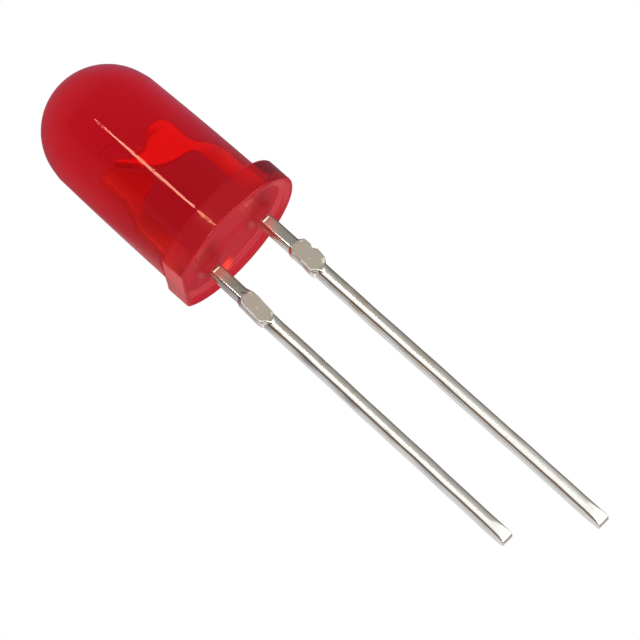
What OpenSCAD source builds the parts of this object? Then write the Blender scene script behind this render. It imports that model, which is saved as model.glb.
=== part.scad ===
// Through-hole indicator LED, 5 mm round, flanged, in red tinted epoxy.
// Each piece is drawn upright: Z along the axis towards the dome, seating plane
// at Z = 0, cathode and flat on the -X side. lie_down() then lays the finished
// lamp on its flat, leads towards +X, with the origin under the middle.
// Millimetres.

/* [Lens] */
// Diameter of the body where it leaves the flange
body_d = 5; // [4.8:0.05:5]
// Mould draft of the body wall, in degrees a side
body_draft = 1.3; // [0:0.1:1.8]
// Height of the dome's tip above the seating plane
lens_h = 8.5; // [8.3:0.1:9]
// How much smaller the dome's radius is than the wall's at the shoulder
dome_step = 0.02; // [0.01:0.005:0.04]
// Height at which the straight wall ends in a faint shoulder
shoulder_z = 6.28; // [6.2:0.02:6.4]
// Diameter of the flange
flange_d = 5.9; // [5.6:0.1:6.1]
// Thickness of the flange
flange_h = 1; // [0.8:0.1:1.4]
// Distance from the axis to the flat that marks the cathode
flat_x = 2.5; // [2.5:0.05:2.65]

/* [Leads] */
// Distance between the two leads where they leave the epoxy
lead_pitch = 2.54; // [2.4:0.02:2.6]
// Width of a lead, across the pair
lead_w = 0.5; // [0.4:0.05:0.5]
// Thickness of the sheet that the lead frame is stamped from
sheet_t = 0.5; // [0.4:0.05:0.5]
// Length of the anode lead below the seating plane
anode_len = 16.5; // [15:0.5:28]
// Length of the cathode lead below the seating plane
cathode_len = 14.4; // [13:0.2:26]
// Sideways lean of the anode lead, in degrees
anode_lean = -0.35; // [-1:0.05:1]
// Sideways lean of the cathode lead, in degrees
cathode_lean = -1.15; // [-1.5:0.05:0.5]
// How far the pair sits off the lens's axis
frame_shift = 0.04; // [0:0.01:0.06]
// Depth at which the stub of the cut dam bar starts
dam_z = 1.5; // [1.2:0.1:2]
// Length of the dam bar's stub along the lead
dam_len = 1.35; // [1.1:0.05:1.6]

/* [Anvil and reflector cup] */
// Height of the anvil's top edge
anvil_top = 4.88; // [4.8:0.02:5.1]
// Diameter of the cup at the anvil's top edge
cup_top_d = 1.12; // [1:0.02:1.14]
// Diameter of the cup's floor
cup_floor_d = 0.48; // [0.44:0.02:0.48]
// Depth of the cup
cup_depth = 0.5; // [0.42:0.02:0.54]

/* [Chip and bond] */
// Side of the square chip
die_w = 0.28; // [0.24:0.02:0.28]
// Height of the chip
die_h = 0.24; // [0.2:0.02:0.28]
// Diameter of the bond wire
wire_d = 0.03; // [0.025:0.005:0.04]

/* [Hidden] */
$fn = 96;

// Lens
body_r = body_d / 2;
flange_r = flange_d / 2;
flange_round = 0.06;
shoulder_r = body_r - (shoulder_z - flange_h) * tan(body_draft);
dome_r = shoulder_r - dome_step;
dome_z = lens_h - dome_r;
// Slope of the short cone that leaves the shoulder and meets the dome smoothly
shoulder_rise = shoulder_z - dome_z;
tangent_a = atan2(shoulder_rise, shoulder_r)
          + acos(dome_r / norm([shoulder_r, shoulder_rise]));
tangent_r = dome_r * cos(tangent_a);
tangent_z = dome_z + dome_r * sin(tangent_a);

// Underside: a shallow dish inside a rim that follows the flat too, a low mound
// in the middle and epoxy drawn out along each lead
dish_d = 0.1;
rim_low = 0.1;
rim_high = 0.5;
mound_r = 8;
mound_h = 0.05;
creep_floor_r = 0.65;
creep_seat_r = 0.45;
creep_end_r = 0.37;
creep_h = 0.25;

// Lead frame
cathode_x = frame_shift - lead_pitch / 2;
anode_x = frame_shift + lead_pitch / 2;
tip_chamfer = 0.05;
// What is left of the dam bar on each side: [height above the lead's edge,
// share of dam_len], from the top down
dam_cathode_in = [[0, 0], [0.08, 0.22], [0.08, 0.4], [0.02, 0.94], [0, 1]];
dam_cathode_out = [[0, 0.06], [0.06, 0.14], [0.1, 0.86], [0.08, 0.97], [0, 1]];
dam_anode_in = [[0, 0.1], [0.06, 0.18], [0.05, 0.6], [0.09, 0.9], [0.07, 1.02], [0, 1.05]];
dam_anode_out = [[0, 0.08], [0.15, 0.18], [0.17, 0.42], [0.09, 0.5], [0.2, 0.64],
                 [0.16, 0.92], [0, 1.04]];

// Cup and anvil
cup_x = 0.08;
cup_floor_z = anvil_top - cup_depth;
cup_lip = 0.1;
cup_lip_drop = 0.42;
anvil_right = 1.1;
anvil_left = cup_x - cup_top_d / 2 - 0.02;

// Post
post_top = 4.93;
post_left = -1.05;

// Chip
attach_t = 0.03;
attach_r = cup_floor_d / 2 - 0.03;
die_z = cup_floor_z + attach_t;
pad_d = 0.12;
pad_t = 0.01;
pad_z = die_z + die_h + pad_t;

// Bond wire: up off the pad, over in one bend and down onto the post
ball_d = 0.08;
ball_h = 0.025;
wedge_x = -0.84;
wire_rise_z = 5.08;
wedge_h = 0.04;

// Points along a bend from a to c that is tangent to a-b and b-c
function bend(a, b, c, n = 8) =
    [for (i = [0:n]) let (t = i / n) (1 - t) * (1 - t) * a + 2 * t * (1 - t) * b + t * t * c];

// One side of a dam bar's stub, side = 1 to the right and -1 to the left
function stub(points, side) =
    [for (p = points) [side * (lead_w / 2 + p[0]), -dam_z - p[1] * dam_len]];

function reversed(list) = [for (i = [len(list) - 1:-1:0]) list[i]];

module lie_down() {
    translate([(lens_h - anode_len) / 2, 0, flat_x])
        rotate([0, -90, 0])
            children();
}

// Sheet metal of the lead frame, stamped from an outline in the XZ plane
module stamped() {
    translate([0, sheet_t / 2, 0])
        rotate([90, 0, 0])
            linear_extrude(sheet_t)
                children();
}

// A lead below the seating plane, with its stub of dam bar and a sheared tip
module leg_outline(length, left_stub, right_stub) {
    polygon(concat(
        [[lead_w / 2, 0.05]],
        stub(right_stub, 1),
        [[lead_w / 2, -length + tip_chamfer], [lead_w / 2 - tip_chamfer, -length],
         [-lead_w / 2 + tip_chamfer / 2, -length], [-lead_w / 2, -length + tip_chamfer / 2]],
        reversed(stub(left_stub, -1)),
        [[-lead_w / 2, 0.05]]
    ));
}

// Anode head: the stem swings inwards to a broad anvil that carries the cup
module anvil_outline() {
    outer = anode_x + lead_w / 2;
    inner = anode_x - lead_w / 2;
    polygon(concat(
        [[inner, 0], [outer, 0]],
        bend([outer, 2.25], [outer, 2.85], [1.28, 3.15]),
        bend([1.22, 3.25], [anvil_right, 3.5], [anvil_right, 3.85]),
        bend([anvil_right, anvil_top - 0.48], [anvil_right, anvil_top],
             [anvil_right - 0.4, anvil_top]),
        [[anvil_left, anvil_top]],
        bend([-0.02, 3.92], [0.16, 3.5], [0.6, 3.33]),
        bend([0.86, 3.24], [inner, 3.14], [inner, 2.6])
    ));
}

// Cathode head: a wedge-shaped post whose edge runs beside the anvil's
module post_outline() {
    outer = cathode_x - lead_w / 2;
    inner = cathode_x + lead_w / 2;
    polygon(concat(
        [[outer, 0], [inner, 0]],
        bend([inner, 2.75], [inner, 3.2], [-0.6, 3.28]),
        bend([-0.4, 3.32], [-0.12, 3.4], [-0.2, 3.72]),
        [[-0.74, post_top]],
        bend([post_left + 0.12, post_top], [post_left, post_top], [post_left, post_top - 0.12]),
        bend([post_left, 3.9], [post_left, 3.5], [-1.22, 3.15]),
        bend([-1.34, 2.95], [outer, 2.8], [outer, 2.4])
    ));
}

// Reflector cup: a cone pressed down into the anvil's top edge
module cup() {
    translate([cup_x, 0, cup_floor_z])
        cylinder(d1 = cup_floor_d, d2 = cup_top_d, h = cup_depth);
}

// Metal that the press pushed out of both faces beside the cup
module cup_lips() {
    translate([cup_x, 0, cup_floor_z - cup_lip_drop])
        cylinder(r1 = sheet_t / 2 - 0.03, r2 = sheet_t / 2 + cup_lip, h = cup_lip_drop);
}

module anode_solid() {
    difference() {
        union() {
            stamped()
                anvil_outline();
            stamped()
                translate([anode_x, 0])
                    rotate(anode_lean)
                        leg_outline(anode_len, dam_anode_in, dam_anode_out);
            cup_lips();
        }
        cup();
    }
}

module cathode_solid() {
    union() {
        stamped()
            post_outline();
        stamped()
            translate([cathode_x, 0])
                rotate(cathode_lean)
                    leg_outline(cathode_len, dam_cathode_out, dam_cathode_in);
    }
}

module attach_solid() {
    translate([cup_x, 0, cup_floor_z])
        cylinder(r1 = attach_r, r2 = attach_r - 0.01, h = attach_t);
}

module die_solid() {
    translate([cup_x - die_w / 2, -die_w / 2, die_z])
        cube([die_w, die_w, die_h]);
}

module pad_solid() {
    translate([cup_x, 0, die_z + die_h])
        cylinder(d = pad_d, h = pad_t);
}

// Ball on the pad, a short rise, one round bend and the stitch on the post
module wire_solid() {
    bend_r = (cup_x - wedge_x) / 2;
    translate([cup_x, 0, pad_z]) {
        cylinder(d = ball_d, h = ball_h);
        cylinder(d = wire_d, h = wire_rise_z - pad_z);
    }
    translate([cup_x - bend_r, 0, wire_rise_z])
        rotate([90, 0, 0])
            rotate_extrude(angle = 180)
                translate([bend_r, 0])
                    circle(d = wire_d, $fn = 24);
    translate([wedge_x, 0, post_top])
        cylinder(d = wire_d, h = wire_rise_z - post_top);
    translate([wedge_x, 0, post_top])
        cylinder(d1 = ball_d, d2 = wire_d, h = wedge_h);
}

// Outside of the casting above the flange: drafted wall, shoulder and dome
module body_outside() {
    translate([0, 0, flange_h])
        cylinder(r1 = body_r, r2 = shoulder_r, h = shoulder_z - flange_h);
    translate([0, 0, shoulder_z])
        cylinder(r1 = shoulder_r, r2 = tangent_r, h = tangent_z - shoulder_z);
    translate([0, 0, dome_z])
        sphere(dome_r);
}

// Flange with eased edges and the flat that marks the cathode
module flange() {
    intersection() {
        rotate_extrude() {
            square([flange_r - flange_round, flange_h]);
            translate([0, flange_round])
                square([flange_r, flange_h - 2 * flange_round]);
            for (z = [flange_round, flange_h - flange_round])
                translate([flange_r - flange_round, z])
                    circle(flange_round, $fn = 32);
        }
        translate([-flat_x, -flange_r, 0])
            cube([flat_x + flange_r, flange_d, flange_h]);
    }
}

// Hollow of the underside. Its slope runs round the wall and along the flat.
module dish() {
    difference() {
        intersection() {
            cylinder(r1 = flange_r - rim_low, r2 = flange_r - rim_high, h = dish_d);
            translate([0, flange_r, 0])
                rotate([90, 0, 0])
                    linear_extrude(flange_d)
                        polygon([[rim_low - flat_x, 0], [flange_r, 0],
                                 [flange_r, dish_d], [rim_high - flat_x, dish_d]]);
        }
        translate([0, 0, dish_d - mound_h + mound_r])
            sphere(mound_r);
    }
}

// Epoxy that crept along a lead while it cured
module creep(x) {
    translate([x, 0, 0])
        cylinder(r1 = creep_seat_r, r2 = creep_floor_r, h = dish_d);
    translate([x, 0, -creep_h])
        cylinder(r1 = creep_end_r, r2 = creep_seat_r, h = creep_h);
}

module lens_outside() {
    difference() {
        union() {
            body_outside();
            flange();
        }
        dish();
    }
    creep(cathode_x);
    creep(anode_x);
}

module lens_body() {
    color([0.72, 0.1, 0.13, 0.55])
        lie_down()
            difference() {
                lens_outside();
                anode_solid();
                cathode_solid();
                attach_solid();
                die_solid();
                pad_solid();
                wire_solid();
            }
}

module anode_lead() {
    color([0.72, 0.71, 0.67]) lie_down() anode_solid();
}

module cathode_lead() {
    color([0.68, 0.67, 0.63]) lie_down() cathode_solid();
}

module die_attach() {
    color([0.8, 0.8, 0.78]) lie_down() attach_solid();
}

module led_die() {
    color([0.25, 0.22, 0.26]) lie_down() die_solid();
}

module bond_pad() {
    color([0.88, 0.78, 0.5]) lie_down() pad_solid();
}

module bond_wire() {
    color([0.93, 0.76, 0.36]) lie_down() wire_solid();
}

lens_body();
anode_lead();
cathode_lead();
die_attach();
led_die();
bond_pad();
bond_wire();
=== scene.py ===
import math

import bmesh
import bpy
import numpy as np
from mathutils import Matrix, Vector


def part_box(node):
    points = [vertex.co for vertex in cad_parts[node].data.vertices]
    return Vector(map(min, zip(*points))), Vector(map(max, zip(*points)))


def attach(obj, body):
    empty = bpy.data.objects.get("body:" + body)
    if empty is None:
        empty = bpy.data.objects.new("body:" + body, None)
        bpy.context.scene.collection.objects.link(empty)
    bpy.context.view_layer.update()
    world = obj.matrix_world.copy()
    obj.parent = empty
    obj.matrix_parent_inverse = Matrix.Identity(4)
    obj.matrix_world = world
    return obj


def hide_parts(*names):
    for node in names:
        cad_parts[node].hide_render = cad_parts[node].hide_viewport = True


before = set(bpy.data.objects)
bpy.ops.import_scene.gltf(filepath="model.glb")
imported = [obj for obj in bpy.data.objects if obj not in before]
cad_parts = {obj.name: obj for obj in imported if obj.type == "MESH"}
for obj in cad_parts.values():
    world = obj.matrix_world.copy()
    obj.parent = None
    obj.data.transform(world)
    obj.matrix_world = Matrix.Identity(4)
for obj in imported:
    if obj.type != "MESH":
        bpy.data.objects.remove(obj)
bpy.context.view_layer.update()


# Anode lead, the long one. Stamped from 0.5 mm copper alloy sheet and tinned: below the
# epoxy a square wire whose plating has rounded its edges, with the stub of the cut dam
# bar near the top. Inside the lens it swings inwards to the anvil with the chip's cup.
MM = 0.001
LENS_H = 8.5
FLAT_X = 2.5
LEAD_PITCH = 2.54
LEAD_HALF = 0.25
FRAME_SHIFT = 0.04
ANODE_LEAN = -0.35

lens_low, lens_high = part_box("lens_body")
axis_z = lens_low.z / MM + FLAT_X
flange_r = lens_high.z / MM - axis_z
seat_x = lens_low.x / MM + LENS_H


def laid(points):
    """Points of the upright lamp, in millimetres, laid down in the row frame, in metres."""
    p = np.asarray(points, float)
    return np.stack([seat_x - p[:, 2], p[:, 1], p[:, 0] + axis_z], axis=1) * MM


def smooth(low, high, value):
    """0 below low, 1 above high and a smooth step between them."""
    t = np.clip((np.asarray(value, float) - low) / (high - low), 0, 1)
    return t * t * (3 - 2 * t)


def edge_profile(points, start, length):
    """Height of a stub's edge over the lead's own, as a function of the distance down the lead."""
    at = np.array([start + p[1] * length for p in points])
    height = np.array([p[0] for p in points])
    return lambda s: np.interp(s, at, height, left=0, right=0)


# The flat face of the dam bar's stub, from the seating plane, and how far its ends run to a point.
DAM_TOP, DAM_FOOT, TOP_POINT, FOOT_POINT = 1.75, 2.78, 0.28, 0.30


def leg(lead_x, lean, length, left, right, seed, nudge, widen):
    """Vertices and faces of a lead from inside the epoxy to its tip, ring by ring down the lead.
    left and right give the height of the stub's edges, nudge an offset below the epoxy, and
    widen turns the hollow of the front face into a broader, shallower one towards the tip."""
    half, plating, step_down, undercut, ledge = LEAD_HALF, 0.006, 0.003, 0.02, 0.14
    radii, dam_radii = (0.06, 0.04, 0.04, 0.14), (0.03, 0.03, 0.03, 0.11)
    pinch_length, pinch = 0.9, 0.06
    end_round, end_shrink = 0.04, 0.03
    least_hollow, more_hollow, less_when_wide = 0.15, 0.75, 0.3
    bead = 0.016
    rng = np.random.default_rng(seed)
    stations = np.concatenate([
        np.linspace(-0.5, 0.1, 8, endpoint=False),
        np.linspace(0.1, 0.34, 20, endpoint=False),
        np.linspace(0.34, 1.2, 14, endpoint=False),
        np.linspace(1.2, 3.4, 96, endpoint=False),
        np.linspace(3.4, length - pinch_length, 64, endpoint=False),
        np.linspace(length - pinch_length, length - end_round, 18, endpoint=False),
        length - end_round * (1 - np.sin(np.linspace(0, math.pi / 2, 6))),
    ])
    wave = rng.uniform(0, 2 * math.pi, 6)
    rings = []
    for s in stations:
        dam = smooth(DAM_TOP - 0.05, DAM_TOP + 0.03, s) * (1 - smooth(DAM_FOOT, DAM_FOOT + 0.12, s))
        tip = max(0.0, (s - length + pinch_length) / pinch_length) ** 2
        cut = max(0.0, (s - (length - end_round)) / end_round)
        shrink = end_shrink * (1 - math.sqrt(max(0.0, 1 - cut * cut)))
        ragged = 0.0015 * dam * (np.sin(s * 11 + wave[0]) + np.sin(s * 19 + wave[1]))
        wider = widen * smooth(8.0, 15.0, s)
        hollow = least_hollow + more_hollow * smooth(1.8, 3.0, s) - less_when_wide * wider
        drift = 0.004 * math.sin(s * 1.3 + wave[2]) + 0.003 * math.sin(s * 3.1 + wave[3])
        side = half + plating * (1 - tip) - shrink
        a_left = side + left(s) + ragged * (left(s) > 0.01)
        a_right = side + right(s) + ragged * (right(s) > 0.01)
        b = half - pinch * tip - shrink
        breathe = 1 + 0.03 * math.sin(s * 2.3 + wave[4]) + 0.015 * math.sin(s * 5.9 + wave[5])
        ring = []
        corners = [(a_right, -b, -90), (a_right, b, 0), (-a_left, b, 90), (-a_left, -b, 180)]
        round_by = [r * breathe * (1 - dam) * (1 - 0.6 * tip) + at_dam * dam
                    for r, at_dam in zip(radii, dam_radii)]
        for k, (cu, cv, turn) in enumerate(corners):
            r = round_by[k]
            centre = (cu - math.copysign(r, cu), cv - math.copysign(r, cv))
            bends = 12 if k == 3 else 5
            for i in range(bends + 1):
                a = math.radians(turn + 90 * i / bends)
                ring.append((centre[0] + r * math.cos(a), centre[1] + r * math.sin(a)))
            after, r_after = corners[(k + 1) % 4], round_by[(k + 1) % 4]
            a = math.radians(turn + 90)
            end = (after[0] - math.copysign(r_after, after[0]) + r_after * math.cos(a),
                   after[1] - math.copysign(r_after, after[1]) + r_after * math.sin(a))
            begin = ring[-1]
            steps = 4 if k % 2 == 0 else 12
            for i in range(1, steps):
                ring.append((begin[0] + (end[0] - begin[0]) * i / steps,
                             begin[1] + (end[1] - begin[1]) * i / steps))
        u, v = np.array(ring).T
        across = np.clip(np.abs(u) / half, 0, 1)
        flat = (smooth(0, ledge, s - (DAM_TOP - TOP_POINT * (1 - across)))
                * (1 - smooth(0, ledge, s - (DAM_FOOT - 0.05 + FOOT_POINT * (1 - across)))))
        front = np.clip(-v / b, 0, 1)
        u = u + drift * (1 - dam) - undercut * (1 - dam) * (v / half) * np.clip(-u / half, 0, 1)
        dip = 0.5 * hollow * np.clip(0.2 + 0.12 * wider - u, 0, None) ** 2 * front + step_down
        crest = np.clip(1 - across * 1.4, 0, 1)
        swell = bead * smooth(0.14, 0.25, s) * (1 - smooth(0.26, 0.30, s)) * front * crest
        v = v + dip * (1 - flat) * np.sign(-v) - swell
        angle = math.radians(lean) if s > 0 else 0.0
        x = lead_x + nudge * smooth(-0.4, 0.3, s) + u * math.cos(angle) + s * math.sin(angle)
        z = u * math.sin(angle) - s * math.cos(angle)
        rings.append(np.stack([x, v, z], axis=1))
    count = len(rings[0])
    vertices = np.concatenate(rings)
    faces = []
    for j in range(len(rings) - 1):
        for i in range(count):
            k = (i + 1) % count
            faces.append((j * count + i, (j + 1) * count + i, (j + 1) * count + k, j * count + k))
    faces.append(tuple(range(count)))
    faces.append(tuple((len(rings) - 1) * count + i for i in reversed(range(count))))
    return vertices, faces


def mesh_object(name, points, faces, sharp=None):
    mesh = bpy.data.meshes.new(name)
    mesh.from_pydata([tuple(p) for p in points], [], faces)
    mesh.validate()
    bm = bmesh.new()
    bm.from_mesh(mesh)
    bmesh.ops.recalc_face_normals(bm, faces=bm.faces)
    bm.to_mesh(mesh)
    bm.free()
    mesh.shade_smooth()
    if sharp:
        mesh.set_sharp_from_angle(angle=math.radians(sharp))
    made = bpy.data.objects.new(name, mesh)
    bpy.context.scene.collection.objects.link(made)
    return made


def head(node):
    """The part of a lead that lies inside the epoxy, from its CAD mesh, with its stamped edges eased."""
    bm = bmesh.new()
    bm.from_mesh(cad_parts[node].data)
    bmesh.ops.remove_doubles(bm, verts=bm.verts, dist=1e-7)
    cut = bmesh.ops.bisect_plane(
        bm, geom=bm.verts[:] + bm.edges[:] + bm.faces[:], dist=1e-8,
        plane_co=((seat_x - 0.3) * MM, 0, 0), plane_no=(1, 0, 0), clear_outer=True)
    bmesh.ops.holes_fill(bm, edges=[e for e in cut["geom_cut"] if isinstance(e, bmesh.types.BMEdge)])
    bmesh.ops.dissolve_limit(bm, angle_limit=math.radians(1), verts=bm.verts, edges=bm.edges)
    bm.normal_update()
    stamped = [e for e in bm.edges if len(e.link_faces) == 2
               and sorted(abs(f.normal.y) > 0.99 for f in e.link_faces) == [False, True]
               and min(abs(f.normal.y) for f in e.link_faces) < 0.05
               and all(v.co.x < (seat_x - 0.301) * MM for v in e.verts)]
    bmesh.ops.bevel(bm, geom=stamped, offset=0.045 * MM, offset_type="OFFSET", segments=3,
                    profile=0.5, affect="EDGES", clamp_overlap=False)
    bmesh.ops.triangulate(bm, faces=[f for f in bm.faces if len(f.verts) > 4])
    mesh = bpy.data.meshes.new(node + "_head")
    bm.to_mesh(mesh)
    bm.free()
    made = bpy.data.objects.new(node + "_head", mesh)
    bpy.context.scene.collection.objects.link(made)
    return made


def fused(name, first, second, sharp):
    """One closed piece from two that run into each other."""
    union = first.modifiers.new("union", "BOOLEAN")
    union.operation, union.solver, union.object = "UNION", "EXACT", second
    depsgraph = bpy.context.evaluated_depsgraph_get()
    mesh = bpy.data.meshes.new_from_object(first.evaluated_get(depsgraph))
    mesh.name = name
    for scrap in (first, second):
        bpy.data.objects.remove(scrap)
    mesh.shade_smooth()
    mesh.set_sharp_from_angle(angle=math.radians(sharp))
    made = bpy.data.objects.new(name, mesh)
    bpy.context.scene.collection.objects.link(made)
    return made


class Wire:
    """A socket in a node tree. Arithmetic on it adds Math nodes, and node() adds any other node."""

    def __init__(self, tree, socket=None):
        self.tree, self.socket = tree, socket

    def node(self, kind, settings=None, values=None, out=0):
        made = self.tree.nodes.new(kind)
        for key, value in (settings or {}).items():
            if key == "stops":
                for spare in made.color_ramp.elements[1:]:
                    made.color_ramp.elements.remove(spare)
                first, *rest = value
                made.color_ramp.elements[0].position = first[0]
                made.color_ramp.elements[0].color = first[1]
                for position, colour in rest:
                    made.color_ramp.elements.new(position).color = colour
            else:
                setattr(made, key, value)
        for key, value in (values or {}).items():
            if isinstance(value, Wire):
                self.tree.links.new(value.socket, made.inputs[key])
            else:
                made.inputs[key].default_value = value
        return Wire(self.tree, made.outputs[out]) if made.outputs else made

    def math(self, operation, *terms):
        return self.node("ShaderNodeMath", {"operation": operation}, dict(enumerate(terms)))

    def __add__(self, other):
        return self.math("ADD", self, other)

    __radd__ = __add__

    def __sub__(self, other):
        return self.math("SUBTRACT", self, other)

    def __rsub__(self, other):
        return self.math("SUBTRACT", other, self)

    def __mul__(self, other):
        return self.math("MULTIPLY", self, other)

    __rmul__ = __mul__

    def __truediv__(self, other):
        return self.math("DIVIDE", self, other)

    def step(self, low, high):
        """0 below low, 1 above high and a smooth step between them."""
        return self.node("ShaderNodeMapRange", {"interpolation_type": "SMOOTHSTEP"},
                         {"Value": self, "From Min": low, "From Max": high})

    def mix(self, first, second):
        """The first colour where this value is 0 and the second where it is 1."""
        return self.node("ShaderNodeMix", {"data_type": "RGBA"}, {0: self, 6: first, 7: second}, out=2)


def material(name):
    made = bpy.data.materials.new(name)
    made.use_nodes = True
    made.node_tree.nodes.clear()
    return made, Wire(made.node_tree)


def place_mm(start, stretch=(1.0, 1.0, 1.0)):
    """The point on the piece in millimetres, stretched along the axes for grain that runs one way."""
    return start.node("ShaderNodeVectorMath", {"operation": "MULTIPLY"},
                      {0: start.node("ShaderNodeTexCoord", out="Object"), 1: tuple(k / MM for k in stretch)})


def noise(start, vector, scale, detail=2.0, roughness=0.5):
    return start.node("ShaderNodeTexNoise", {}, {"Vector": vector, "Scale": scale, "Detail": detail,
                                                 "Roughness": roughness})


TIN = (0.86, 0.86, 0.845, 1)
TIN_WARM = (0.74, 0.68, 0.58, 1)
TIN_SHADE = (0.46, 0.43, 0.39, 1)
SHEARED = (0.41, 0.395, 0.34, 1)
SPECK = (0.72, 0.80, 0.68, 1)
BARE_END = (0.72, 0.71, 0.69, 1)
STUB_EDGE_WHITE = (0.95, 0.94, 0.92, 1)
BROWN_NEAR_LENS = (0.50, 0.40, 0.29, 1)
FLASH = (0.45, 0.02, 0.03, 1)
WETTED_PAINTED_LIT = (1.0, 0.32, 0.10, 1)
WETTED_PAINTED_SHADE = (0.28, 0.07, 0.03, 1)


def tinned(name, lead_x, lean, anvil_light, stem_light, side_light):
    """Dip tinned copper alloy: bright and faintly streaked, browner near the lens, dull where the dam bar was
    cut away, filmed with epoxy at the top, and where the epoxy wets it a flat orange with painted light and
    shade."""
    made, start = material(name)
    place = place_mm(start)
    x = start.node("ShaderNodeSeparateXYZ", {}, {"Vector": place})
    z = Wire(start.tree, x.socket.node.outputs["Z"])
    down = x - seat_x
    streak = noise(start, place_mm(start, (0.35, 4.0, 4.0)), 2.2, 2.0, 0.6)
    cloud = noise(start, place, 1.4, 3.0, 0.55)
    pits = noise(start, place, 9.0, 3.0, 0.6)
    normal = start.node("ShaderNodeNewGeometry", out="True Normal")
    along = start.node("ShaderNodeSeparateXYZ", {}, {"Vector": normal})
    facing = start.math("ABSOLUTE", Wire(start.tree, along.socket.node.outputs["Y"]))
    leftward = 0 - Wire(start.tree, along.socket.node.outputs["Z"])
    inward = 1 - start.math("ABSOLUTE", z - axis_z - lead_x - down * math.tan(math.radians(lean))) / LEAD_HALF
    inward = start.math("MAXIMUM", inward, 0.0)
    ragged = (noise(start, place, 5.0) - 0.5) * 0.12
    dull = ((down + inward * TOP_POINT + ragged).step(DAM_TOP, DAM_TOP + 0.06)
            * (1 - (down - inward * FOOT_POINT + ragged * 0.3).step(DAM_FOOT - 0.05, DAM_FOOT)))
    # Near-white in ragged patches where the stub's faces turn half away from the front.
    stub_edge_white = (dull * facing.step(0.72, 0.80) * (1 - facing.step(0.93, 0.97))
            * (cloud + ragged * 2).step(0.42, 0.5))
    dull = dull * facing.step(0.6, 0.75)
    end = along.step(0.7, 0.9) * down.step(DAM_FOOT, DAM_FOOT + 1.0)
    wetted = 1 - down.step(-0.02, 0.02)
    filmed = (1 - (down + ragged).step(0.12, 0.18)) * (1 - wetted)
    # Browner and rougher on the shank just below the epoxy.
    brown_near_lens = 1 - down.step(0.3, DAM_TOP + 0.3)
    colour = (cloud.step(0.42, 0.7) * (1 - down.step(5.0, 11.0))).mix(TIN, TIN_WARM)
    colour = (streak.step(0.55, 0.75) * 0.6).mix(colour, TIN_SHADE)
    colour = (brown_near_lens * (0.30 + cloud * 0.9)).mix(colour, BROWN_NEAR_LENS)
    colour = dull.mix(colour, pits.step(0.63, 0.70).mix(SHEARED, SPECK))
    colour = stub_edge_white.mix(colour, STUB_EDGE_WHITE)
    colour = end.mix(colour, BARE_END)
    colour = filmed.mix(colour, FLASH)
    # Painted light and shade on the metal inside the epoxy: lighter on the head, on faces turned down and on
    # faces turned towards the tips, and painted dark near where the lead leaves the epoxy.
    depth = (0 - down).step(2.5, 3.3)
    light = stem_light + depth * (anvil_light - stem_light)
    light = light + leftward.step(0.2, 0.6) * side_light + along.step(0.2, 0.7) * 0.3
    light = light * (0 - down).step(0.0, 0.9)
    colour = wetted.mix(colour, light.mix(WETTED_PAINTED_SHADE, WETTED_PAINTED_LIT))
    stub = down.step(DAM_TOP - 0.15, DAM_TOP) * (1 - down.step(DAM_FOOT + 0.05, DAM_FOOT + 0.15))
    gloss = 0.075 + streak * 0.05 + brown_near_lens * 0.13 * (1 - stub) + stub * 0.30 + dull * 0.13
    gloss = gloss + end * 0.28 + wetted * 0.48
    height = streak * 0.5 + noise(start, place, 1.2, 0.0) * 0.8
    bump = start.node("ShaderNodeBump", {}, {"Strength": 0.035, "Distance": 0.02 * MM, "Height": height})
    metal = start.node("ShaderNodeBsdfPrincipled", {}, {
        "Base Color": colour, "Roughness": gloss,
        "Metallic": 1 - dull * 0.5 - end * 0.6 - wetted * 0.6 - filmed * 0.5,
        "Normal": bump})
    start.node("ShaderNodeOutputMaterial", {}, {"Surface": metal})
    return made


anode_x = FRAME_SHIFT + LEAD_PITCH / 2
anode_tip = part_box("anode_lead")[1].x / MM
anode_length = (anode_tip - seat_x) / math.cos(math.radians(ANODE_LEAN)) - 0.003
DAM_START, DAM_LENGTH = 1.5, 1.35
anode_inner = edge_profile([(0, 0.1), (0.06, 0.18), (0.05, 0.6), (0.09, 0.9), (0.07, 1.02), (0, 1.05)],
                           DAM_START, DAM_LENGTH)
anode_outer = edge_profile([(0, 0.08), (0.15, 0.18), (0.17, 0.42), (0.09, 0.5), (0.2, 0.64), (0.16, 0.92),
                            (0, 1.04)], DAM_START, DAM_LENGTH)
points, faces = leg(anode_x, ANODE_LEAN, anode_length, anode_inner, anode_outer, 11, 0.0, 1.0)
anode_lead = fused("anode_lead_tinned", mesh_object("anode_leg", laid(points), faces), head("anode_lead"), 40)
anode_lead.data.materials.clear()
anode_lead.data.materials.append(tinned("tinned_anode", anode_x, ANODE_LEAN, 1.0, 0.62, 0.7))
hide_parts("anode_lead")
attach(anode_lead, "root")


# Cathode lead, the short one on the side of the flat. The same strip and plating as the
# anode; inside the lens it ends in a wedge-shaped post that takes the bond wire's stitch.
CATHODE_LEAN = -1.15
cathode_x = FRAME_SHIFT - LEAD_PITCH / 2
cathode_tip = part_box("cathode_lead")[1].x / MM
cathode_length = (cathode_tip - seat_x) + 0.07
cathode_inner = edge_profile([(0, 0), (0.08, 0.22), (0.08, 0.4), (0.02, 0.94), (0, 1)], DAM_START, DAM_LENGTH)
cathode_outer = edge_profile([(0, 0.06), (0.06, 0.14), (0.1, 0.86), (0.08, 0.97), (0, 1)],
                             DAM_START, DAM_LENGTH)
points, faces = leg(cathode_x, CATHODE_LEAN, cathode_length, cathode_outer, cathode_inner, 23, 0.035, 0.0)
cathode_lead = fused("cathode_lead_tinned", mesh_object("cathode_leg", laid(points), faces),
                     head("cathode_lead"), 40)
cathode_lead.data.materials.clear()
# The cathode gets less painted light inside the epoxy than the anode.
cathode_lead.data.materials.append(tinned("tinned_cathode", cathode_x, CATHODE_LEAN, 0.50, 0.36, 0.4))
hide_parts("cathode_lead")
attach(cathode_lead, "root")


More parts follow.
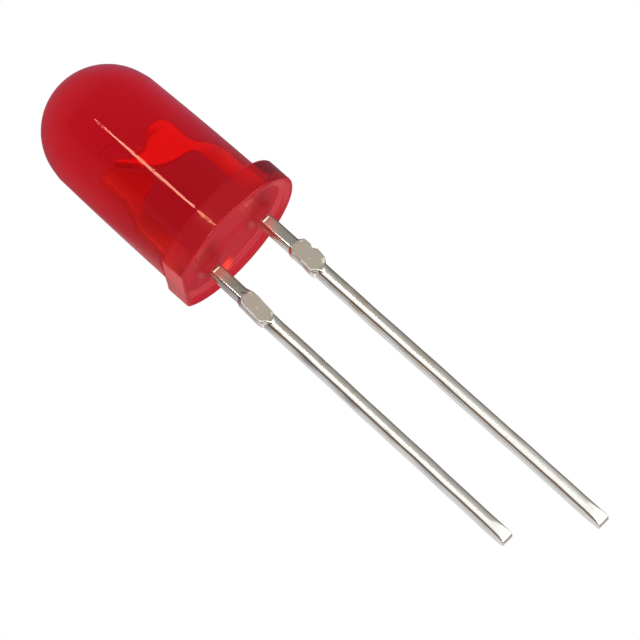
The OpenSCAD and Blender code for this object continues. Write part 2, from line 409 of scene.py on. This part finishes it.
# Silver paste, a thin round dab of filled epoxy in the cup's floor. It holds the chip and
# is its contact with the anode.
paste, start = material("silver_paste_cured")
place = place_mm(start)
flakes = noise(start, place, 40.0, 3.0, 0.7)
bump = start.node("ShaderNodeBump", {}, {"Strength": 0.5, "Distance": 0.01 * MM, "Height": flakes})
shade = start.node("ShaderNodeBsdfPrincipled", {}, {
    "Base Color": flakes.step(0.4, 0.65).mix((0.55, 0.54, 0.52, 1), (0.85, 0.84, 0.81, 1)),
    "Metallic": 0.8, "Roughness": 0.35 + flakes * 0.3, "Normal": bump})
start.node("ShaderNodeOutputMaterial", {}, {"Surface": shade})
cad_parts["die_attach"].data.materials.clear()
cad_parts["die_attach"].data.materials.append(paste)


# Chip, a sawn cube of red emitting semiconductor, set in the paste by a pick and place
# head. Its sides are dark and finely scored by the saw.
chip, start = material("sawn_chip")
place = place_mm(start)
saw = noise(start, place_mm(start, (14.0, 1.0, 1.0)), 6.0, 2.0)
bump = start.node("ShaderNodeBump", {}, {"Strength": 0.3, "Distance": 0.005 * MM, "Height": saw})
shade = start.node("ShaderNodeBsdfPrincipled", {}, {
    "Base Color": saw.step(0.35, 0.7).mix((0.72, 0.34, 0.24, 1), (0.88, 0.42, 0.30, 1)),
    "Roughness": 0.2 + saw * 0.35, "Metallic": 0.25, "Normal": bump})
start.node("ShaderNodeOutputMaterial", {}, {"Surface": shade})
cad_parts["led_die"].data.materials.clear()
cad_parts["led_die"].data.materials.append(chip)


# Bond pad and bond wire, both gold. The pad is plated on the chip; the wire is balled on
# it, loops over and is stitched down on the cathode's post.
GOLD = (0.95, 0.66, 0.26, 1)


def gold(name, scale, roughness):
    made, start = material(name)
    soft = noise(start, place_mm(start), scale, 2.0)
    bump = start.node("ShaderNodeBump", {}, {"Strength": 0.2, "Distance": 0.002 * MM, "Height": soft})
    shade = start.node("ShaderNodeBsdfPrincipled", {}, {
        "Base Color": soft.step(0.3, 0.7).mix(GOLD, (0.88, 0.54, 0.18, 1)), "Metallic": 1.0,
        "Roughness": roughness + soft * 0.15, "Normal": bump})
    start.node("ShaderNodeOutputMaterial", {}, {"Surface": shade})
    return made


gold_finishes = {"bond_pad": gold("plated_pad", 60.0, 0.3), "bond_wire": gold("drawn_wire", 30.0, 0.15)}
for node, finish in gold_finishes.items():
    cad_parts[node].data.materials.clear()
    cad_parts[node].data.materials.append(finish)


# Lens: red tinted epoxy, poured into a cup mould round the lead frame and cured. Glossy
# dome and drafted wall, a finely rippled flange, and an open underside that shrank to a
# shallow dish and crept a little way down each lead.
BODY_R, SHOULDER_Z, FLANGE_H = 2.5, 6.28, 1.0
DOME_R, DRAFT = 2.36, 1.3
EDGE_ROUND, FILLET, BOW = 0.06, 0.09, 0.02
RIM_STEP, DISH, MIDDLE = 0.06, 0.05, 0.035
CREEP, CREEP_REACH, CREEP_FOOT, CREEP_FOOT_REACH = 0.24, 0.09, 0.03, 0.3
shoulder_r = BODY_R - (SHOULDER_Z - FLANGE_H) * math.tan(math.radians(DRAFT))
dome_z = LENS_H - DOME_R
tangent = (math.atan2(SHOULDER_Z - dome_z, shoulder_r)
           + math.acos(DOME_R / math.hypot(shoulder_r, SHOULDER_Z - dome_z)))
angles = np.linspace(0, 2 * math.pi, 320, endpoint=False)


def wall_r(z):
    """Radius of the drafted wall, bowed out by a hair as castings are."""
    share = (z - FLANGE_H) / (SHOULDER_Z - FLANGE_H)
    return BODY_R - (z - FLANGE_H) * math.tan(math.radians(DRAFT)) + BOW * math.sin(math.pi * share)


def flange_edge(theta, inset=0.0):
    """Distance from the axis to the flange's edge, cut by the cathode's flat."""
    towards_flat = np.maximum(-np.cos(theta), 1e-6)
    to_flat = (FLAT_X - inset) / towards_flat
    round_edge = flange_r - inset
    blend = 0.02
    both = 0.5 * (to_flat + round_edge - np.sqrt((to_flat - round_edge) ** 2 + blend ** 2))
    return np.where(to_flat > round_edge + 1, round_edge, both)


def underside(x, y):
    """Height of the epoxy's open face over the seating plane."""
    rim = flange_edge(np.arctan2(y, x), EDGE_ROUND) - np.hypot(x, y)
    z = RIM_STEP * smooth(-0.04, 0.45, rim) + DISH * smooth(0.2, 1.7, rim)
    z = z - MIDDLE * (1 - smooth(0.35, 1.05, np.hypot(x * 0.85, y)))
    for lead in (anode_x, cathode_x):
        away = np.hypot(np.maximum(np.abs(x - lead) - LEAD_HALF, 0), np.maximum(np.abs(y) - LEAD_HALF, 0))
        z = z - CREEP * np.exp(-np.maximum(away - 0.02, 0) / CREEP_REACH)
        z = z - CREEP_FOOT * np.exp(-away / CREEP_FOOT_REACH)
    return z


rows = []
for a in np.linspace(math.pi / 2, tangent, 40)[1:]:
    ring_r, ring_z = DOME_R * math.cos(a), dome_z + DOME_R * math.sin(a)
    rows.append((np.full_like(angles, ring_r), np.full_like(angles, ring_z)))
for z in np.linspace(SHOULDER_Z, FLANGE_H + FILLET, 26):
    rows.append((np.full_like(angles, wall_r(z)), np.full_like(angles, z)))
rim_r = flange_edge(angles)
room = np.clip(rim_r - BODY_R, 0, None)
fillet = np.minimum(FILLET, 0.6 * room)
for a in np.linspace(0, math.pi / 2, 6)[1:]:
    rows.append((BODY_R + fillet * (1 - math.cos(a)), FLANGE_H + fillet * (1 - math.sin(a))))
ease = np.minimum(EDGE_ROUND, 0.3 * room + 0.02)
for t in (0.3, 0.6, 0.85):
    rows.append((BODY_R + fillet + t * (room - fillet - ease).clip(0), np.full_like(angles, FLANGE_H)))
for a in np.linspace(0, math.pi / 2, 6):
    rows.append((rim_r - ease * (1 - math.sin(a)), FLANGE_H - ease * (1 - math.cos(a))))
for z in np.linspace(FLANGE_H - 0.1, 0.1, 7):
    rows.append((rim_r, np.full_like(angles, z)))
for a in np.linspace(math.pi / 2, 0, 6):
    rows.append((rim_r - EDGE_ROUND * (1 - math.sin(a)), EDGE_ROUND * (1 - math.cos(a)) + 0 * angles))
inner = rim_r - EDGE_ROUND
fractions = 1 - np.concatenate([np.linspace(0, 0.26, 16)[1:], np.linspace(0.26, 0.76, 90)[1:],
                                np.linspace(0.76, 0.99, 14)[1:]])
for f in fractions:
    r = inner * f
    rows.append((r, underside(r * np.cos(angles), r * np.sin(angles))))
points = [(0, 0, LENS_H)]
for r, z in rows:
    points.extend(zip(r * np.cos(angles), r * np.sin(angles), z))
points.append((0, 0, float(underside(0.0, 0.0))))
n = len(angles)
faces = [(0, 1 + i, 1 + (i + 1) % n) for i in range(n)]
for j in range(len(rows) - 1):
    for i in range(n):
        k = (i + 1) % n
        faces.append((1 + j * n + i, 1 + (j + 1) * n + i, 1 + (j + 1) * n + k, 1 + j * n + k))
last = 1 + (len(rows) - 1) * n
faces.extend((last + i, len(points) - 1, last + (i + 1) % n) for i in range(n))
lens = mesh_object("lens_epoxy", laid(points), faces)

epoxy, start = material("red_tinted_epoxy")
place = place_mm(start)
x = start.node("ShaderNodeSeparateXYZ", {}, {"Vector": place})
flange_part = x.step(seat_x - FLANGE_H - 0.02, seat_x - FLANGE_H + 0.06)
normal = start.node("ShaderNodeNewGeometry", out="True Normal")
below = start.node("ShaderNodeSeparateXYZ", {}, {"Vector": normal})
under_part = x.step(seat_x - 0.3, seat_x - 0.2) * below.step(0.3, 0.8)
facet = 1 - start.node("ShaderNodeSeparateXYZ", {}, {"Vector": place}, out="Z").step(0.01, 0.03)
y = start.node("ShaderNodeSeparateXYZ", {}, {"Vector": place}, out="Y")
across = start.node("ShaderNodeSeparateXYZ", {}, {"Vector": place}, out="Z") - axis_z
# Painted shade: dark pools in the underside round each lead, matte and rougher.
painted_shade_pool = x.step(seat_x - 0.04, seat_x + 0.06)
for lead in (anode_x, cathode_x):
    sideways = start.math("MAXIMUM", start.math("ABSOLUTE", across - lead) - LEAD_HALF, 0.0)
    forward = start.math("MAXIMUM", start.math("ABSOLUTE", y + 0.7) - 0.8, 0.0)
    away = start.math("POWER", sideways * sideways + forward * forward, 0.5)
    painted_shade_pool = start.math("MAXIMUM", painted_shade_pool, (1 - away.step(-0.1, 0.6)) * x.step(seat_x - 0.3, seat_x - 0.2))
fine = noise(start, place, 13.0, 3.0, 0.6)
waves = noise(start, place, 0.9, 1.0)
bump = start.node("ShaderNodeBump", {}, {
    "Strength": 0.25, "Distance": 0.02 * MM,
    "Height": waves * 0.15 + fine * flange_part * (1 - under_part) * 0.38})
# Painted glint: a streaky orange-red glow in the underside beside the cathode lead, given as emission.
glint = ((1 - start.math("ABSOLUTE", across + 0.52).step(0.08, 0.46))
         * (1 - start.math("ABSOLUTE", y - 1.6).step(0.1, 0.6))
         * under_part * noise(start, place_mm(start, (1.0, 9.0, 1.0)), 1.5).step(0.3, 0.6))

# Painted shade: the epoxy's colour darkens towards the base.
painted_shade_to_base = x.step(seat_x - 5.2, seat_x - 2.4).mix((1.0, 0.58, 0.54, 1), (0.80, 0.62, 0.56, 1))
glass = start.node("ShaderNodeBsdfPrincipled", {}, {
    "Base Color": painted_shade_to_base, "Roughness": 0.04 + facet * 0.15 + under_part * 0.08 + painted_shade_pool * 0.25,
    "IOR": 1.5, "Transmission Weight": 1.0, "Specular Tint": (0.75, 0.42, 0.30, 1), "Normal": bump})
# The matte part of the epoxy glows a faint red by its own emission: painted light.
matte_with_painted_glow = start.node("ShaderNodeBsdfPrincipled", {}, {
    "Base Color": painted_shade_pool.mix((0.40, 0.020, 0.036, 1), (0.12, 0.006, 0.010, 1)), "Roughness": 0.6,
    "Specular IOR Level": 0.05, "Normal": bump,
    "Emission Color": glint.mix((0.27, 0.008, 0.012, 1), (1.7, 0.11, 0.03, 1)), "Emission Strength": 1.0})
bloom = 0.06 + flange_part * 0.14 + facet * 0.32 + start.math("MAXIMUM", under_part * 0.56, painted_shade_pool * 0.70)
body = start.node("ShaderNodeMixShader", {}, {0: bloom, 1: glass, 2: matte_with_painted_glow})
shadow_ray = start.node("ShaderNodeLightPath", out="Is Shadow Ray")
clear = start.node("ShaderNodeBsdfTransparent", {}, {"Color": (1.6, 1.1, 1.0, 1)})
surface = start.node("ShaderNodeMixShader", {}, {0: shadow_ray, 1: body, 2: clear})
ABSORB_RED, ABSORB_GREEN, ABSORB_BLUE = 0.165, 1.05, 0.86
tint = start.node("ShaderNodeVolumeAbsorption", {}, {
    "Color": (1 - ABSORB_RED / ABSORB_GREEN, 0.0, 1 - ABSORB_BLUE / ABSORB_GREEN, 1),
    "Density": ABSORB_GREEN / MM})
start.node("ShaderNodeOutputMaterial", {}, {"Surface": surface, "Volume": tint})
lens.data.materials.append(epoxy)
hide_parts("lens_body")
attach(lens, "root")


# Floor, studio light and camera. The floor shows from above and lets a camera below it
# look through.
floor_mesh = bpy.data.meshes.new("floor")
bm = bmesh.new()
bmesh.ops.create_circle(bm, cap_ends=True, segments=64, radius=1.5)
bm.to_mesh(floor_mesh)
bm.free()
floor = bpy.data.objects.new("floor", floor_mesh)
floor.location.z = -0.01 * MM
bpy.context.scene.collection.objects.link(floor)
paper, start = material("floor_paper")
back = start.node("ShaderNodeNewGeometry", out="Backfacing")
paper_shade = start.node("ShaderNodeBsdfDiffuse", {}, {"Color": (0.9, 0.9, 0.9, 1)})
see_through = start.node("ShaderNodeBsdfTransparent")
start.node("ShaderNodeOutputMaterial", {}, {
    "Surface": start.node("ShaderNodeMixShader", {}, {0: back, 1: paper_shade, 2: see_through})})
floor_mesh.materials.append(paper)
floor.visible_shadow = False
floor.visible_glossy = False
floor.visible_transmission = False


def softbox(name, towards, distance, size, radiance, shape="RECTANGLE", warm=(1, 1, 1)):
    """An area lamp in that direction from the lens's middle, facing it."""
    lamp = bpy.data.lights.new(name, "AREA")
    lamp.shape, lamp.size, lamp.size_y = shape, size[0], size[1]
    lamp.energy = radiance * math.pi * size[0] * size[1]
    lamp.color = warm
    made = bpy.data.objects.new(name, lamp)
    towards = Vector(towards).normalized()
    made.location = Vector((seat_x * MM, 0, axis_z * MM)) + towards * distance
    side = (Vector((1, 0, 0)) - towards.x * towards).normalized()
    made.matrix_world = Matrix.Translation(made.location) @ Matrix(
        (side, towards.cross(side), towards)).transposed().to_4x4()
    made.visible_camera = False
    made.visible_transmission = False
    bpy.context.scene.collection.objects.link(made)
    return made


softbox("body_strip", (-0.331, -0.928, -0.184), 0.5, (0.038, 0.042), 16.0, "ELLIPSE", (1.0, 0.86, 0.82))
softbox("flange_strip", (-0.282, -0.941, -0.186), 0.5, (0.016, 0.030), 36.0, "RECTANGLE", (1.0, 0.82, 0.62))
softbox("front_box", (0.05, -0.99, 0.03), 0.45, (0.10, 0.30), 2.4, "RECTANGLE", (1.0, 0.93, 0.84))
softbox("side_box", (0.62, -0.77, 0.10), 0.45, (0.26, 0.30), 2.6, "RECTANGLE", (1.0, 0.96, 0.90))
softbox("top_box", (0.62, -0.25, 0.74), 0.45, (0.30, 0.30), 2.4, "RECTANGLE", (1.0, 0.93, 0.84))
softbox("low_card", (0.20, -0.90, -0.38), 0.45, (0.18, 0.12), 7.0, "RECTANGLE", (1.0, 0.98, 0.94))

world = bpy.data.worlds.new("studio")
bpy.context.scene.world = world
world.use_nodes = True
world.node_tree.nodes.clear()
start = Wire(world.node_tree)
ray = start.node("ShaderNodeLightPath", out="Is Camera Ray")
through = start.node("ShaderNodeLightPath", out="Is Transmission Ray")
gloss = start.node("ShaderNodeLightPath", out="Is Glossy Ray")
direction = start.node("ShaderNodeTexCoord", out="Generated")
split = start.node("ShaderNodeSeparateXYZ", {}, {"Vector": direction})
aside, ahead, upward = (Wire(start.tree, socket) for socket in split.socket.node.outputs)
turn_down = start.math("ARCTAN2", 0 - upward, 0 - ahead) / (2 * math.pi) + 0.5
beside_leads = start.node("ShaderNodeValToRGB", {"stops": [
    (0.0, (0.74, 0.72, 0.73, 1)), (0.014, (0.62, 0.60, 0.61, 1)), (0.027, (0.17, 0.15, 0.17, 1)),
    (0.10, (0.15, 0.14, 0.15, 1)), (0.25, (0.17, 0.16, 0.16, 1)), (0.42, (0.25, 0.24, 0.22, 1)),
    (0.469, (0.34, 0.33, 0.30, 1)), (0.498, (0.49, 0.47, 0.43, 1)), (0.516, (0.66, 0.64, 0.58, 1)),
    (0.530, (1.08, 1.07, 1.01, 1)), (0.556, (1.12, 1.11, 1.05, 1)), (0.571, (0.23, 0.155, 0.115, 1)),
    (0.672, (0.23, 0.155, 0.115, 1)), (0.695, (0.70, 0.70, 0.68, 1)), (1.0, (0.76, 0.74, 0.75, 1))]},
    {"Fac": turn_down})
beside_lens = start.node("ShaderNodeValToRGB", {"stops": [
    (0.0, (0.50, 0.13, 0.16, 1)), (0.12, (0.28, 0.20, 0.32, 1)), (0.22, (0.20, 0.18, 0.30, 1)),
    (0.32, (0.10, 0.09, 0.12, 1)), (0.515, (0.10, 0.09, 0.12, 1)), (0.53, (0.02, 0.02, 0.02, 1)),
    (0.65, (0.02, 0.02, 0.02, 1)), (0.68, (0.20, 0.18, 0.24, 1)), (0.86, (0.22, 0.20, 0.25, 1)),
    (0.94, (0.20, 0.14, 0.16, 1)), (1.0, (0.50, 0.13, 0.16, 1))]},
    {"Fac": turn_down})
# The walls that the leads mirror start where those that the lens's wall mirrors end.
around = aside.step(-0.300, -0.275).mix(beside_lens, beside_leads)
flare = ((turn_down + (aside + 0.25) * 0.5).step(0.512, 0.524) * aside.step(-0.25, -0.235)
         * (1 - turn_down.step(0.555, 0.575)))
around = flare.mix(around, (1.03, 1.02, 0.98, 1))
# Behind, dark but for a pale card low down, which draws the crescent in the underside's rim.
DARK = (0.03, 0.02, 0.02, 1)
behind = ahead.step(-0.2, 0.2)
around = (aside.step(0.16, 0.22) * (1 - behind)).mix(around, (0.06, 0.05, 0.05, 1))
around = (aside.step(0.42, 0.50) * upward.step(-0.15, 0.0) * behind).mix(around, DARK)
around = (aside.step(0.31, 0.36) * upward.step(0.10, 0.15) * behind).mix(around, DARK)
low_right = aside.step(0.25, 0.28) * (1 - aside.step(0.42, 0.48)) * (1 - upward.step(0.07, 0.10)) * behind
around = low_right.mix(around, (1.6, 1.15, 1.15, 1))
around = (1 - aside.step(-0.82, -0.74)).mix(around, (0.20, 0.18, 0.24, 1))
seen = start.math("MAXIMUM", ray, through)
room = (1 - gloss).mix(around, start.node("ShaderNodeMix", {"data_type": "RGBA", "blend_type": "ADD"},
                                          {0: 1.0, 6: around, 7: (0.16, 0.16, 0.16, 1)}, out=2))
colour = seen.mix(room, (1, 1, 1, 1))
sky = start.node("ShaderNodeBackground", {}, {"Color": colour, "Strength": 1.0})
start.node("ShaderNodeOutputWorld", {}, {"Surface": sky})

camera = bpy.data.objects.new("camera", bpy.data.cameras.new("camera"))
bpy.context.scene.collection.objects.link(camera)
bpy.context.scene.camera = camera
towards = Vector((0.2656, -0.9457, -0.1873)).normalized()
along = (Vector((1, 0, 0)) - towards.x * towards).normalized()
across = towards.cross(along)
turn = math.radians(41.42)
right = math.cos(turn) * along + math.sin(turn) * across
up = -math.sin(turn) * along + math.cos(turn) * across
FRAME_WIDTH, DISTANCE = 22.30 * MM, 0.40
aim = Vector((seat_x, 0, axis_z)) * MM + right * 2.973 * MM - up * 2.688 * MM
facing_lamp = Matrix((right, up, towards)).transposed().to_4x4()
camera.matrix_world = Matrix.Translation(aim + towards * DISTANCE) @ facing_lamp
camera.data.sensor_width = 36.0
camera.data.lens = 36.0 * DISTANCE / FRAME_WIDTH
camera.data.clip_start, camera.data.clip_end = 0.01, 10.0

bpy.context.scene.view_settings.view_transform = "Standard"
